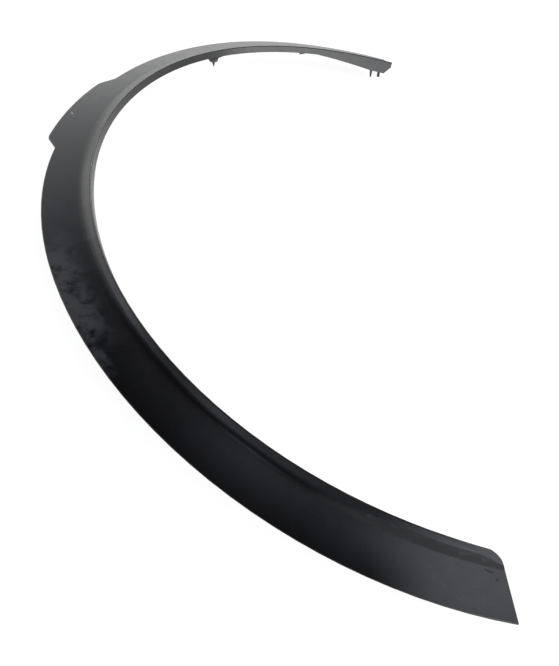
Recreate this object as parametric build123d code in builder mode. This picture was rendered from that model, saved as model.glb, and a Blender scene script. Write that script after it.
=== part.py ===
"""Wheel arch trim: a half-round moulded band with a beaded inner edge, held by push-in clips."""
import os
from math import cos, radians, sin, tan

from build123d import *

# Arch line about the wheel centre: a flat crown, tighter haunches and flat ends, each tangent to the next
crown_radius = 410.0
haunch_radius = 373.0
end_radius = 406.0
crown_to = 22.5
haunch_to = 67.5

# Section across the band: widths out from the arch line, heights from the valley beside the bead
bead_width = 10.0
bead_round = 1.3
valley_round = 20.0
lip_lean = 24.0
flank_angle = 37.0
face_slope = 16.5
wall = 2.6
edge_round = 0.9
back_chamfer = 1.2

# Width of the band from the arch line to its outer edge, from the near end to the far end
near_width = 45.0
waist_width = 43.7
arm_width = 44.8
notch_width = 42.0
tab_width = 53.4
tab_mid_width = 50.9
tab_end_width = 48.1
shoulder_width = 37.9
flare_width = 41.4
far_mid_width = 47.0
far_width = 46.8

# Angles along the arch from its middle: the near end is negative, the far end positive
near_end = -88.0
waist_at = -56.0
narrow_from = -24.0
notch_at = -2.95
tab_from = -0.5
tab_end = 16.05
shoulder_at = 18.4
flare_at = 44.0
far_mid_at = 64.0
far_end = 84.8

# Corners of the outline
near_cut_skew = 1.45
near_corner_width = 10.0
near_corner_length = 26.0
nose_length = 70.0
tab_corner_round = 15.0
notch_round = 10.0
shoulder_round = 18.0

# Lip behind the bead: shallow round the arch, deeper over each end
lip_depth = 2.3
lip_end_depth = 11.5
lip_ramp_from = 160.0
lip_ramp_to = 66.0
lip_heel = 8.0

# Lean of the fixings from the arch's axis, towards its open side
push_lean = 13.8

# Clip towers on the back of the face, each with a slotted floor
clip_angles = (-43.3, 0.0, 43.3)
clip_from_line = 20.0
seat_depth = 15.3
tower_length = 28.0
tower_shift = 4.0
tower_wall = 2.0
floor_thick = 1.8
head_room = 0.3
slot_clear = 0.3

# Clip: square head in the tower, square neck in the slot, tapered collar, shank and spike below
head_size = 9.0
head_thick = 1.8
neck_size = 5.0
collar_diameter = 15.0
collar_end_diameter = 11.5
collar_drop = 4.8
shank_diameter = 3.4
shank_length = 3.5
spike_length = 3.9
spike_tip_diameter = 1.4
spike_sides = 6

# Locating pegs at each end of the lip: one pointed, one short and blunt
peg_angle = 81.25
peg_spacing = 11.7
peg_from_line = 1.0
peg_tip_size = 1.7
peg_taper = 4.6
peg_tip_depth = 22.8
short_peg_size = 3.4
short_peg_tip_depth = 19.8

# Stand-off ribs between the fixings and a stiffening rib round the back
standoff_angles = (-65.4, -20.0, 20.0, 65.4)
standoff_length = 8.0
standoff_width = 12.0
standoff_depth = 11.3
rib_inset = 5.0
rib_width = 1.8
rib_depth = 3.0


def spot(width, angle):
    """Plan point at a width out from the arch line, where the line's normal stands at an angle."""
    lean = abs(angle)
    x, y, radius = 0, -crown_drop, crown_radius
    for start, next_radius in ((crown_to, haunch_radius), (haunch_to, end_radius)):
        if lean > start:
            x += (radius - next_radius) * sin(radians(start))
            y += (radius - next_radius) * cos(radians(start))
            radius = next_radius
    x += (radius + width) * sin(radians(lean))
    y += (radius + width) * cos(radians(lean))
    return (x if angle > 0 else -x, y)


def foot(depth):
    """Section point on the lip's outer line at a depth below the valley."""
    return (-depth * tan(radians(lip_lean)), -depth)


def on_face(width):
    """Section point on the face at a width out from the arch line."""
    return (width, (bead_width - width) * tan(radians(face_slope)))


def turn(length):
    """Angle along an end of the arch that a length on the arch line takes up."""
    return length / radians(1) / end_radius


def section_at(angle):
    """Upright plane across the band: X out from the arch line, Y up."""
    outward = (sin(radians(angle)), cos(radians(angle)), 0)
    along = (cos(radians(angle)), -sin(radians(angle)), 0)
    return Plane(origin=spot(0, angle), x_dir=outward, z_dir=along)


def across_band(width, angle):
    """Upright plane along the arch, looking in from a width: X along the arch, Y up."""
    along = (cos(radians(angle)), -sin(radians(angle)), 0)
    inward = (-sin(radians(angle)), -cos(radians(angle)), 0)
    return Plane(origin=spot(width, angle), x_dir=along, z_dir=inward)


def fixing(width, angle, depth):
    """Plane across the push direction: X along the arch, Z out of the face."""
    push = Vector(0, sin(radians(push_lean)), cos(radians(push_lean)))
    along = Vector(cos(radians(angle)), -sin(radians(angle)), 0)
    x, y = spot(width, angle)
    return Plane(origin=(x, y, -depth), x_dir=along - push * along.dot(push), z_dir=push)


# The end arcs' centres stand level with the wheel centre
crown_drop = (crown_radius - haunch_radius) * cos(radians(crown_to))
crown_drop -= (end_radius - haunch_radius) * cos(radians(haunch_to))

# Corners of the section's outer line, before they are rounded
bead_height = bead_width / (tan(radians(lip_lean)) + 1 / tan(radians(flank_angle)))
bead_top = (bead_height * tan(radians(lip_lean)), bead_height)
valley = on_face(bead_width)
skin_end = on_face(tab_width + 3 * wall)
lip_across = wall / cos(radians(lip_lean))

# Reach of the cuts, and sizes that follow from the clip
off_part = 2 * crown_radius
deep = peg_tip_depth + seat_depth + collar_drop + shank_length + spike_length
inside = foot(lip_end_depth)[0] - wall
edge_in = foot(lip_depth)[0]
pocket_width = head_size + 2 * slot_clear
pocket_height = head_thick + head_room
tower_depth = pocket_width + 2 * tower_wall
near_inner = near_end + near_cut_skew
near_corner_end = near_inner + turn(near_corner_length)

with BuildLine() as arch_line:
    near_arc = ThreePointArc(spot(0, -90), spot(0, -(haunch_to + 90) / 2), spot(0, -haunch_to))
    near_haunch = ThreePointArc(near_arc @ 1, spot(0, -(crown_to + haunch_to) / 2), spot(0, -crown_to))
    crown = ThreePointArc(near_haunch @ 1, spot(0, 0), spot(0, crown_to))
    far_haunch = ThreePointArc(crown @ 1, spot(0, (crown_to + haunch_to) / 2), spot(0, haunch_to))
    ThreePointArc(far_haunch @ 1, spot(0, (haunch_to + 90) / 2), spot(0, 90))
arch = arch_line.line

with BuildPart() as moulding:
    # Lip at its full depth, cut back to a shallow run with ramped ends
    with BuildSketch(section_at(-90)):
        with BuildLine():
            top, low = foot(0), foot(lip_end_depth)
            Polyline(top, low, (low[0] + lip_across, low[1]), (top[0] + lip_across, top[1]), close=True)
        make_face()
    sweep(path=arch)
    for reach, heel in ((off_part, spot(0, far_end)[1]), (-off_part, spot(0, near_corner_end)[1])):
        with BuildSketch(Plane.YZ):
            with BuildLine():
                Polyline(
                    (off_part, -lip_depth), (lip_ramp_from, -lip_depth), (lip_ramp_to, -lip_end_depth),
                    (heel + lip_heel, -lip_end_depth), (heel, -lip_depth), (-deep, -lip_depth),
                    (-deep, -deep), (off_part, -deep), close=True)
            make_face()
        extrude(amount=reach, mode=Mode.SUBTRACT)

    # Clip towers, stand-off ribs, pegs and the stiffening rib, all run up into the band
    for angle in clip_angles:
        with BuildSketch(fixing(clip_from_line, angle, seat_depth)):
            with Locations((tower_shift, 0)):
                Rectangle(tower_length, tower_depth)
        extrude(amount=deep)
    for angle in standoff_angles:
        with BuildSketch(fixing(clip_from_line, angle, standoff_depth)):
            Rectangle(standoff_length, standoff_width)
        extrude(amount=deep)
    for side in (-1, 1):
        with BuildSketch(fixing(peg_from_line, side * peg_angle, peg_tip_depth)):
            Rectangle(peg_tip_size, peg_tip_size)
        extrude(amount=deep, taper=-peg_taper)
        with BuildSketch(fixing(peg_from_line, side * (peg_angle + turn(peg_spacing)), short_peg_tip_depth)):
            Rectangle(short_peg_size, short_peg_size)
        extrude(amount=deep)
    with BuildSketch(section_at(-90)):
        with Locations(on_face(shoulder_width - rib_inset)):
            Rectangle(rib_width, 2 * (wall + rib_depth))
    sweep(path=arch)

    # Bead filled in at the near end, where its nose is rounded
    with BuildLine():
        nose_line = ThreePointArc(spot(0, near_end), spot(0, near_inner), spot(0, near_corner_end))
    with BuildSketch(section_at(near_end)):
        with BuildLine():
            Polyline(
                (0, -lip_depth), (0, bead_height),
                (bead_width, bead_height), (bead_width, -lip_depth), close=True)
        make_face()
    sweep(path=nose_line)

    # Everything behind the band stops inside its wall
    with BuildSketch(section_at(-90)):
        with BuildLine():
            skin = FilletPolyline(foot(deep), bead_top, valley, skin_end, radius=[bead_round, valley_round])
            Polyline(skin @ 1, (skin_end[0], -deep), foot(deep))
        make_face()
        offset(amount=-wall / 2)
    sweep(path=arch, mode=Mode.INTERSECT)

    # The band itself: lip, bead, valley and face at one wall thickness
    with BuildSketch(section_at(-90)) as section:
        with BuildLine():
            Polyline(foot(lip_depth), bead_top, valley, skin_end)
            offset(amount=wall, side=Side.RIGHT, kind=Kind.INTERSECTION)
        make_face()
        fillet(section.vertices().sort_by_distance(bead_top)[0], radius=bead_round)
        fillet(section.vertices().sort_by_distance(valley)[0], radius=valley_round)
    sweep(path=arch)

    # Near end of the bead rounded down to the cut
    with BuildSketch(across_band(bead_width, near_inner)):
        crest = skin.bounding_box().max.Y
        with BuildLine():
            nose = TangentArc((nose_length, crest), (0, 0), tangent=(-1, 0))
            above = 2 * crest
            Polyline(nose @ 1, (-nose_length, 0), (-nose_length, above), (nose_length, above), nose @ 0)
        make_face()
    extrude(amount=2 * bead_width, mode=Mode.SUBTRACT)

    # Pocket and slot through each tower, for the clip's head and neck
    for angle in clip_angles:
        with BuildSketch(fixing(clip_from_line, angle, seat_depth).offset(floor_thick)):
            with Locations((tower_shift, 0)):
                Rectangle(tower_length + 2 * tower_wall, pocket_width)
        extrude(amount=pocket_height, mode=Mode.SUBTRACT)
        with BuildSketch(fixing(clip_from_line, angle, seat_depth)):
            slot = neck_size + 2 * slot_clear
            with Locations((-slot / 2, 0)):
                Rectangle(tower_length, slot, align=(Align.MIN, Align.CENTER))
        extrude(amount=floor_thick, mode=Mode.SUBTRACT)

    # Plan outline: outer edge with its notch, tab and shoulder, cut ends and the near end's rounded corner
    with BuildSketch() as outline:
        with BuildLine():
            near_rim = ThreePointArc(
                spot(near_width, near_end), spot(waist_width, waist_at), spot(arm_width, narrow_from))
            narrowing = TangentArc(near_rim @ 1, spot(notch_width, notch_at), tangent=near_rim % 1)
            step = Line(narrowing @ 1, spot(tab_width, tab_from))
            tab_mid = (tab_from + tab_end) / 2
            tab = ThreePointArc(step @ 1, spot(tab_mid_width, tab_mid), spot(tab_end_width, tab_end))
            shoulder = Line(tab @ 1, spot(shoulder_width, shoulder_at))
            far_rim = ThreePointArc(
                spot(flare_width, flare_at), spot(far_mid_width, far_mid_at), spot(far_width, far_end))
            TangentArc(far_rim @ 0, shoulder @ 1, tangent=-(far_rim % 0))
            far_cut = Line(far_rim @ 1, spot(inside, far_end))
            inner = ThreePointArc(far_cut @ 1, spot(inside, 0), spot(inside, near_corner_end))
            lip_side = Line(inner @ 1, spot(edge_in, near_corner_end))
            corner = Bezier(lip_side @ 1, spot(edge_in, near_inner), spot(near_corner_width, near_inner))
            Line(corner @ 1, near_rim @ 0)
        make_face()
        fillet(outline.vertices().sort_by_distance(step @ 1)[0], radius=tab_corner_round)
        fillet(outline.vertices().sort_by_distance(step @ 0)[0], radius=notch_round)
        fillet(outline.vertices().sort_by_distance(shoulder @ 0)[0], radius=shoulder_round)
        fillet(outline.vertices().sort_by_distance(shoulder @ 1)[0], radius=shoulder_round)
    extrude(amount=deep, both=True, mode=Mode.INTERSECT)

    # Outer edge of the face rounded, and thinned from behind
    walls = moulding.faces().filter_by(lambda face: abs(face.normal_at().Z) < 0.01)
    walls = walls.filter_by(lambda face: face.distance_to(arch) > shoulder_width - rib_inset / 2)
    back_edges = [wall_face.edges().sort_by(Axis.Z)[0] for wall_face in walls]
    fillet([wall_face.edges().sort_by(Axis.Z)[-1] for wall_face in walls], radius=edge_round)
    chamfer(back_edges, length=back_chamfer)

with BuildPart() as clips:
    # Square head and neck, collar and shank turned about the push direction, and a pointed spike
    for angle in clip_angles:
        seat = fixing(clip_from_line, angle, seat_depth)
        with BuildSketch(seat.offset(floor_thick)):
            Rectangle(head_size, head_size)
        extrude(amount=head_thick)
        with BuildSketch(seat):
            Rectangle(neck_size, neck_size)
        extrude(amount=floor_thick)
        with BuildSketch(Plane(origin=seat.origin, x_dir=seat.x_dir, z_dir=-seat.y_dir)):
            spike_top = -collar_drop - shank_length
            with BuildLine():
                Polyline(
                    (0, 0), (collar_diameter / 2, 0), (collar_end_diameter / 2, -collar_drop),
                    (shank_diameter / 2, -collar_drop), (shank_diameter / 2, spike_top),
                    (0, spike_top), close=True)
            make_face()
        revolve(axis=Axis(seat.origin, seat.z_dir))
        with BuildSketch(seat.offset(spike_top)):
            RegularPolygon(shank_diameter / 2, spike_sides)
        with BuildSketch(seat.offset(spike_top - spike_length)):
            RegularPolygon(spike_tip_diameter / 2, spike_sides)
        loft()

# The part lies on its lowest points, centred over the origin
box = Compound([moulding.part, clips.part]).bounding_box()
centre = box.center()
shift = Pos(-centre.X, -centre.Y, -box.min.Z)

os.makedirs("parts", exist_ok=True)
for piece, name in ((moulding.part, "trim_moulding"), (clips.part, "push_clips")):
    placed = shift * piece
    placed.label = name
    export_step(placed, "parts/" + name + ".step")
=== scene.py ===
"""Wheel arch trim: satin black moulding with push-in clips, on a white floor."""
from math import radians

import bpy
from mathutils import Matrix, Vector


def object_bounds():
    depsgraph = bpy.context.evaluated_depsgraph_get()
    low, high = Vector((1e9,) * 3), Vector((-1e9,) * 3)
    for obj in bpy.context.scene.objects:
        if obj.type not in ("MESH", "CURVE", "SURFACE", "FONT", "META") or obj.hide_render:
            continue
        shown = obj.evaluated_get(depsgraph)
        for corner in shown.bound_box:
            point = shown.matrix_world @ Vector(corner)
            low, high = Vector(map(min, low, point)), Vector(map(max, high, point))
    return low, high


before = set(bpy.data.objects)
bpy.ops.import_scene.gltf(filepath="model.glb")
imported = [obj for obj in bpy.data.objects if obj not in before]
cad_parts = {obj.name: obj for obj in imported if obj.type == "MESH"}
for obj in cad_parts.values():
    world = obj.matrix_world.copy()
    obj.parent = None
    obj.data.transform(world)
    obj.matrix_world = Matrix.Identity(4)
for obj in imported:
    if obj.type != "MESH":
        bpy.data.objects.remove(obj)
cad_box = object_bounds()

# Camera at the photograph's viewing angle, in metres
IMAGE_WIDTH = 559
FOCAL_PIXELS = 666.43
SENSOR_MM = 36.0
CAMERA_AT = (-0.61148, 0.06296, 0.41831)
CAMERA_FORWARD = (0.69541, -0.17439, -0.69713)
CAMERA_UP = (0.71798, 0.2093, 0.66385)
CAMERA_CLIP = 0.01

# Sky: height of a direction and its colour there, and the strength of its light
SKY = (
    (0.0, (1.0, 1.0, 1.0)),
    (0.27, (0.97, 0.99, 1.0)),
    (0.36, (0.96, 0.99, 1.0)),
    (0.54, (0.56, 0.58, 0.66)),
    (0.64, (0.2, 0.21, 0.25)),
    (0.73, (0.045, 0.045, 0.058)),
    (0.9, (0.05, 0.05, 0.066)),
    (1.0, (0.075, 0.075, 0.095)),
)
SKY_STRENGTH = 1.0

# Lamps: place, target, width and height in metres, watts and tint
WHITE = (1.0, 1.0, 1.0)
COOL = (0.88, 0.93, 1.0)
LAMP_UP = (0.0, 0.01, 1.0)
LAMPS = {
    "near_softbox": ((-0.37, -1.12, 1.86), (-0.4, -0.15, 0.0), (1.0, 0.95), 7.2, COOL),
    "top_softbox": ((0.05, 0.1, 2.4), (-0.37, -0.03, 0.0), (0.6, 0.6), 0.72, COOL),
    "back_softbox": ((-1.92, -0.88, 1.41), (-0.4, -0.13, 0.0), (0.9, 0.8), 5.5, COOL),
    "side_softbox": ((0.39, -1.69, 1.39), (-0.42, -0.17, 0.03), (0.9, 0.9), 4.8, COOL),
    "left_softbox": ((-1.12, 1.28, 1.65), (-0.3, 0.05, 0.03), (0.6, 0.5), 1.45, COOL),
    "crest_softbox": ((2.4, 0.25, 1.83), (-0.08, 0.15, 0.03), (1.2, 1.1), 23.0, WHITE),
    "flank_softbox": ((0.09, 2.2, 1.26), (-0.236, 0.09, 0.03), (0.55, 0.36), 1.6, COOL),
    "valley_softbox": ((-0.56, 0.52, 2.15), (-0.34, -0.01, 0.03), (0.4, 0.4), 0.55, COOL),
    "bead_softbox": ((-1.5, 0.62, 1.75), (-0.35, -0.04, 0.03), (0.5, 0.5), 0.58, COOL),
    "low_softbox": ((-1.46, -2.48, 1.05), (0.3, -0.05, 0.0), (4.2, 0.9), 56.0, WHITE),
    "window": ((1.55, 2.95, 0.9), (0.0, 0.1, 0.0), (2.4, 1.4), 9.0, WHITE),
    "horizon_strip": ((3.2, 0.55, 0.36), (0.1, 0.0, 0.0), (2.1, 0.62), 2.6, WHITE),
}

# Floor: half side and gap below the part in metres, colour for bounced light, colour and glow where seen
FLOOR_REACH = 2.6
FLOOR_GAP = 0.0005
FLOOR_BOUNCE = (0.85, 0.85, 0.85, 1.0)
FLOOR_SEEN = (0.2, 0.2, 0.2, 1.0)
FLOOR_GLOW = 0.9

# Noises: scale, detail and roughness
GRAIN = (1400.0, 3.0, 0.6)
CLOUD = (14.0, 4.0, 0.55)
MOTTLE = (90.0, 4.0, 0.6)
CLIP_CLOUD = (160.0, 3.0, 0.5)

# Plastics: tones by cloud level, roughness by mottling level, strength and depth of the bumps
MOULDING_TONES = ((0.3, (0.0028, 0.0028, 0.0035)), (0.75, (0.0058, 0.0059, 0.0071)))
CLIP_TONES = ((0.3, (0.045, 0.05, 0.066)), (0.7, (0.065, 0.072, 0.092)))
MOTTLE_LEVELS = (0.3, 0.7)
MOULDING_ROUGH = (0.265, 0.315)
CLIP_ROUGH = 0.42
GRAIN_BUMP = 0.12
CLIP_BUMP = 0.08
BUMP_DEPTH = 0.0002

# Wheel's centre and wobble of the worn edges, in metres; angles below are in degrees from the crown
WHEEL_CENTRE = (-0.0001, -0.2287)
WOBBLE = (0.0016, 0.0016, 0.0)

# Dusty patches: angles between which each fades in and then out, radii between which it fades in
DUST = (
    ((-40.5, -36.0, -27.0, -19.0), (0.407, 0.426)),
    ((-44.0, -40.0, -37.0, -34.0), (0.4258, 0.4295)),
)
DUST_LEVELS = (0.3, 0.6)
DUST_COLOUR = (0.022, 0.0225, 0.026, 1.0)
DUST_ROUGH = 0.5

# Crease beside the bead, darkened with painted shade: bands of the normal's Z, and of the rise from the
# wheel's centre to the crown
SHADED_CREASE_LEAN = (0.957, 0.93, 0.915, 0.802)
FOOT_LEAN = (0.935, 0.885, 0.865, 0.82)
ARM_RISE = (0.38, 0.28, 0.19, 0.12)
NEAR_RISE = (0.19, 0.12)
SLEEK_ROUGH = 0.19
GRIMY_ROUGH = 0.52

# Painted shade on the outer margin of the arm, as a weaker reflection: angles, radii and specular levels
SHADED_MARGIN_ANGLES = (-80.0, -73.0, -46.0, -30.0)
SHADED_MARGIN_RADII = (0.409, 0.436)
FULL_SHINE = 0.5
SHADED_MARGIN_SHINE = 0.12

# Small worn marks, each an ellipse: centre and half sizes in metres, turn in degrees
DARK_MARKS = (
    ((-0.2013, 0.1527, 0.0183), (0.0016, 0.0011), 40.0),
    ((-0.1956, 0.1482, 0.0202), (0.0013, 0.0009), 10.0),
    ((-0.2108, 0.1494, 0.0178), (0.0017, 0.0009), 70.0),
    ((-0.2127, 0.1403, 0.0199), (0.0095, 0.00045), 80.0),
    ((-0.2372, 0.1145, 0.0226), (0.0024, 0.0009), 45.0),
    ((-0.2420, 0.1098, 0.0230), (0.0034, 0.0008), 42.0),
    ((-0.4090, -0.1980, 0.0242), (0.0012, 0.0010), 0.0),
    ((-0.4040, -0.1922, 0.0256), (0.0042, 0.0009), 80.0),
)
LIGHT_MARKS = (
    ((0.0471, 0.2016, 0.0171), (0.0036, 0.0008), 29.0),
    ((0.0400, 0.1985, 0.0180), (0.0012, 0.0004), 60.0),
)
MARK_DEPTH = 0.01
MARK_EDGE = (1.15, 0.55)
# Colour of the dark worn marks, also used as painted shade in the crease beside the bead
MARK_AND_CREASE_SHADE_COLOUR = (0.0015, 0.0015, 0.002, 1.0)
DARK_ROUGH = 0.6
LIGHT_COLOUR = (0.3, 0.31, 0.32, 1.0)

scene = bpy.context.scene
scene.view_settings.view_transform = "Standard"


def aim(place, forward, up):
    """World matrix of a camera or lamp that looks along forward."""
    back = -Vector(forward).normalized()
    right = Vector(up).cross(back).normalized()
    turned = Matrix((right, back.cross(right), back)).transposed()
    return Matrix.Translation(place) @ turned.to_4x4()


def add_camera():
    camera = bpy.data.cameras.new("camera")
    camera.sensor_fit = "HORIZONTAL"
    camera.sensor_width = SENSOR_MM
    camera.lens = FOCAL_PIXELS / IMAGE_WIDTH * SENSOR_MM
    camera.clip_start = CAMERA_CLIP
    holder = bpy.data.objects.new("camera", camera)
    scene.collection.objects.link(holder)
    holder.matrix_world = aim(CAMERA_AT, CAMERA_FORWARD, CAMERA_UP)
    scene.camera = holder


def add_lamp(name, place, target, size, watts, tint):
    lamp = bpy.data.lights.new(name, "AREA")
    lamp.shape = "RECTANGLE"
    lamp.size, lamp.size_y = size
    lamp.energy = watts
    lamp.color = tint
    holder = bpy.data.objects.new(name, lamp)
    scene.collection.objects.link(holder)
    holder.matrix_world = aim(place, Vector(target) - Vector(place), LAMP_UP)
    holder.visible_camera = False


def empty_tree(holder):
    """Node tree of a material or world, with nothing in it."""
    holder.use_nodes = True
    holder.node_tree.nodes.clear()
    return holder.node_tree


def feed(tree, target, value):
    """Links an input to a socket, or sets it to a fixed value."""
    if isinstance(value, bpy.types.NodeSocket):
        tree.links.new(value, target)
    else:
        target.default_value = value


def node(tree, kind, inputs=None, **settings):
    """A shader node with its settings and inputs."""
    made = tree.nodes.new(kind)
    for key, value in settings.items():
        setattr(made, key, value)
    for key, value in (inputs or {}).items():
        feed(tree, made.inputs[key], value)
    return made


def combine(tree, operation, first, second):
    """Result of one operation on two values."""
    return node(tree, "ShaderNodeMath", {0: first, 1: second}, operation=operation).outputs[0]


def combine_vectors(tree, operation, *vectors):
    """Result of one operation on vectors."""
    return node(tree, "ShaderNodeVectorMath", dict(enumerate(vectors)), operation=operation).outputs[0]


def length_of(tree, vector):
    return node(tree, "ShaderNodeVectorMath", {0: vector}, operation="LENGTH").outputs["Value"]


def blend(tree, amount, first, second):
    """Mixes two values by a mask."""
    return node(tree, "ShaderNodeMix", {0: amount, 2: first, 3: second}).outputs[0]


def tint(tree, amount, first, second):
    """Mixes two colours by a mask."""
    return node(tree, "ShaderNodeMix", {0: amount, 6: first, 7: second}, data_type="RGBA").outputs[2]


def fade(tree, value, start, end):
    """0 at start and 1 at end, smooth between."""
    inputs = {"Value": value, "From Min": start, "From Max": end}
    return node(tree, "ShaderNodeMapRange", inputs, interpolation_type="SMOOTHSTEP").outputs[0]


def band(tree, value, start, full, full_end, end):
    """1 between full and full_end, fading to 0 at start and end."""
    return combine(tree, "MULTIPLY", fade(tree, value, start, full), fade(tree, value, end, full_end))


def angle_band(tree, angle, degrees):
    return band(tree, angle, *(radians(step) for step in degrees))


def noise(tree, place, look):
    scale, detail, roughness = look
    inputs = {"Vector": place, "Scale": scale, "Detail": detail, "Roughness": roughness}
    return node(tree, "ShaderNodeTexNoise", inputs).outputs


def ramp(tree, value, stops):
    """Colour of a value, from stops of level and colour."""
    made = node(tree, "ShaderNodeValToRGB", {0: value})
    elements = made.color_ramp.elements
    while len(elements) < len(stops):
        elements.new(1.0)
    for element, (level, colour) in zip(elements, stops):
        element.position = level
        element.color = (*colour, 1.0)
    return made.outputs[0]


def bumps(tree, height, strength):
    inputs = {"Strength": strength, "Distance": BUMP_DEPTH, "Height": height}
    return node(tree, "ShaderNodeBump", inputs).outputs[0]


def add_world():
    world = bpy.data.worlds.new("studio")
    scene.world = world
    tree = empty_tree(world)
    way = node(tree, "ShaderNodeTexCoord").outputs["Generated"]
    height = node(tree, "ShaderNodeSeparateXYZ", {0: way}).outputs["Z"]
    light = node(tree, "ShaderNodeBackground", {"Color": ramp(tree, height, SKY), "Strength": SKY_STRENGTH})
    node(tree, "ShaderNodeOutputWorld", {"Surface": light.outputs[0]})


def floor_material():
    """White that glows where it is seen or mirrored, plain for the light that it bounces."""
    material = bpy.data.materials.new("floor_white")
    tree = empty_tree(material)
    bounce = node(tree, "ShaderNodeBsdfDiffuse", {"Color": FLOOR_BOUNCE})
    shade = node(tree, "ShaderNodeBsdfDiffuse", {"Color": FLOOR_SEEN})
    glow = node(tree, "ShaderNodeEmission", {"Color": (*WHITE, 1.0), "Strength": FLOOR_GLOW})
    ray = node(tree, "ShaderNodeLightPath").outputs
    seen = combine(tree, "MAXIMUM", ray["Is Camera Ray"], ray["Is Glossy Ray"])
    seen = combine(tree, "MAXIMUM", seen, ray["Is Transmission Ray"])
    white = node(tree, "ShaderNodeAddShader", {0: shade.outputs[0], 1: glow.outputs[0]})
    mix = node(tree, "ShaderNodeMixShader", {0: seen, 1: bounce.outputs[0], 2: white.outputs[0]})
    node(tree, "ShaderNodeOutputMaterial", {"Surface": mix.outputs[0]})
    return material


def add_floor():
    mesh = bpy.data.meshes.new("floor")
    corners = ((-1, -1), (1, -1), (1, 1), (-1, 1))
    mesh.from_pydata([(x * FLOOR_REACH, y * FLOOR_REACH, 0) for x, y in corners], [], [(0, 1, 2, 3)])
    mesh.materials.append(floor_material())
    floor = bpy.data.objects.new("floor", mesh)
    scene.collection.objects.link(floor)
    floor.location.z = cad_box[0][2] - FLOOR_GAP


def ragged(tree, place, mottle):
    """Place moved a little by the mottling, so that worn edges aren't smooth."""
    half = tuple(side / 2 for side in WOBBLE)
    moved = combine_vectors(tree, "MULTIPLY_ADD", mottle, WOBBLE, place)
    return combine_vectors(tree, "SUBTRACT", moved, half)


def from_wheel(tree, place):
    """Radius, angle and rise of a place from the wheel's centre."""
    offset = combine_vectors(tree, "SUBTRACT", place, (*WHEEL_CENTRE, 0.0))
    axes = node(tree, "ShaderNodeSeparateXYZ", {0: offset}).outputs
    radius = length_of(tree, combine_vectors(tree, "MULTIPLY", offset, (1.0, 1.0, 0.0)))
    return radius, combine(tree, "ARCTAN2", axes["X"], axes["Y"]), axes["Y"]


def dust_on(tree, radius, angle, mottle):
    """Mask of the dusty patches, broken up by the mottling."""
    mask = None
    for angles, radii in DUST:
        patch = combine(tree, "MULTIPLY", angle_band(tree, angle, angles), fade(tree, radius, *radii))
        mask = patch if mask is None else combine(tree, "MAXIMUM", mask, patch)
    return combine(tree, "MULTIPLY", mask, fade(tree, mottle, *DUST_LEVELS))


def crease_on(tree, normal, rise):
    """Masks of the crease: all of it, which gets painted shade, its glossy foot along the arm, its dirt near
    the end.
    """
    lean = node(tree, "ShaderNodeSeparateXYZ", {0: normal}).outputs["Z"]
    shaded_crease = band(tree, lean, *SHADED_CREASE_LEAN)
    sleek = combine(tree, "MULTIPLY", band(tree, lean, *FOOT_LEAN), band(tree, rise, *ARM_RISE))
    grimy = combine(tree, "MULTIPLY", shaded_crease, fade(tree, rise, *NEAR_RISE))
    return shaded_crease, sleek, grimy


def marks_on(tree, place, marks):
    """Mask of small worn marks."""
    mask = None
    for centre, half, turn in marks:
        inputs = {
            "Vector": place,
            "Location": centre,
            "Rotation": (0.0, 0.0, radians(turn)),
            "Scale": (*half, MARK_DEPTH),
        }
        inside = node(tree, "ShaderNodeMapping", inputs, vector_type="TEXTURE").outputs[0]
        spot = fade(tree, length_of(tree, inside), *MARK_EDGE)
        mask = spot if mask is None else combine(tree, "MAXIMUM", mask, spot)
    return mask


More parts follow.
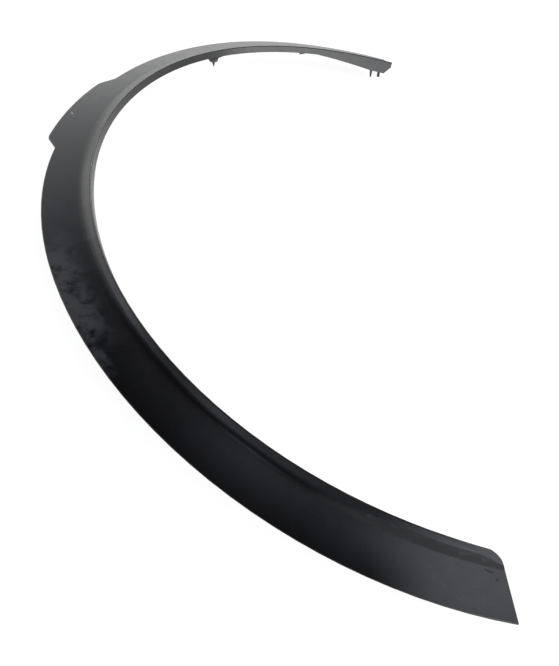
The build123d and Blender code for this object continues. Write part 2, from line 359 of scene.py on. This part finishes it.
def moulding_material():
    """Satin black with moulded grain, faint clouds, mottling and wear, and painted shade in the crease and
    on the outer margin.
    """
    material = bpy.data.materials.new("satin_black_plastic")
    tree = empty_tree(material)
    where = node(tree, "ShaderNodeTexCoord").outputs
    place = where["Object"]
    grain = noise(tree, place, GRAIN)["Fac"]
    cloud = noise(tree, place, CLOUD)["Fac"]
    mottle = noise(tree, place, MOTTLE)
    worn = ragged(tree, place, mottle["Color"])

    # Masks of the wear, and of the painted shade in the crease and on the outer margin
    radius, angle, rise = from_wheel(tree, worn)
    dust = dust_on(tree, radius, angle, mottle["Fac"])
    shaded_crease, sleek, grimy = crease_on(tree, where["Normal"], rise)
    # Painted shade: the outer margin of the arm gets a weaker reflection below
    shaded_margin = combine(tree, "MULTIPLY", angle_band(tree, angle, SHADED_MARGIN_ANGLES), fade(tree, radius, *SHADED_MARGIN_RADII))
    dark = marks_on(tree, worn, DARK_MARKS)
    light = marks_on(tree, worn, LIGHT_MARKS)

    # Colour
    colour = tint(tree, dust, ramp(tree, cloud, MOULDING_TONES), DUST_COLOUR)
    # Dark worn marks, and painted shade along the crease beside the bead
    colour = tint(tree, combine(tree, "MAXIMUM", dark, shaded_crease), colour, MARK_AND_CREASE_SHADE_COLOUR)
    colour = tint(tree, light, colour, LIGHT_COLOUR)

    # Roughness
    inputs = {
        "Value": mottle["Fac"],
        "From Min": MOTTLE_LEVELS[0],
        "From Max": MOTTLE_LEVELS[1],
        "To Min": MOULDING_ROUGH[0],
        "To Max": MOULDING_ROUGH[1],
    }
    rough = node(tree, "ShaderNodeMapRange", inputs).outputs[0]
    for mask, level in ((dust, DUST_ROUGH), (sleek, SLEEK_ROUGH), (grimy, GRIMY_ROUGH), (dark, DARK_ROUGH)):
        rough = blend(tree, mask, rough, level)

    inputs = {
        "Base Color": colour,
        "Roughness": rough,
        "Specular IOR Level": blend(tree, shaded_margin, FULL_SHINE, SHADED_MARGIN_SHINE),
        "Normal": bumps(tree, grain, GRAIN_BUMP),
    }
    shader = node(tree, "ShaderNodeBsdfPrincipled", inputs)
    node(tree, "ShaderNodeOutputMaterial", {"Surface": shader.outputs[0]})
    return material


def clip_material():
    """Dark blue-grey with faint clouds."""
    material = bpy.data.materials.new("dark_clip_plastic")
    tree = empty_tree(material)
    cloud = noise(tree, node(tree, "ShaderNodeTexCoord").outputs["Object"], CLIP_CLOUD)["Fac"]
    inputs = {
        "Base Color": ramp(tree, cloud, CLIP_TONES),
        "Roughness": CLIP_ROUGH,
        "Normal": bumps(tree, cloud, CLIP_BUMP),
    }
    shader = node(tree, "ShaderNodeBsdfPrincipled", inputs)
    node(tree, "ShaderNodeOutputMaterial", {"Surface": shader.outputs[0]})
    return material


def dress(name, material):
    """Gives a CAD node its finish."""
    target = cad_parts[name]
    target.data.materials.clear()
    target.data.materials.append(material)


add_camera()
add_world()
add_floor()
for lamp_name, lamp_facts in LAMPS.items():
    add_lamp(lamp_name, *lamp_facts)
dress("trim_moulding", moulding_material())
dress("push_clips", clip_material())
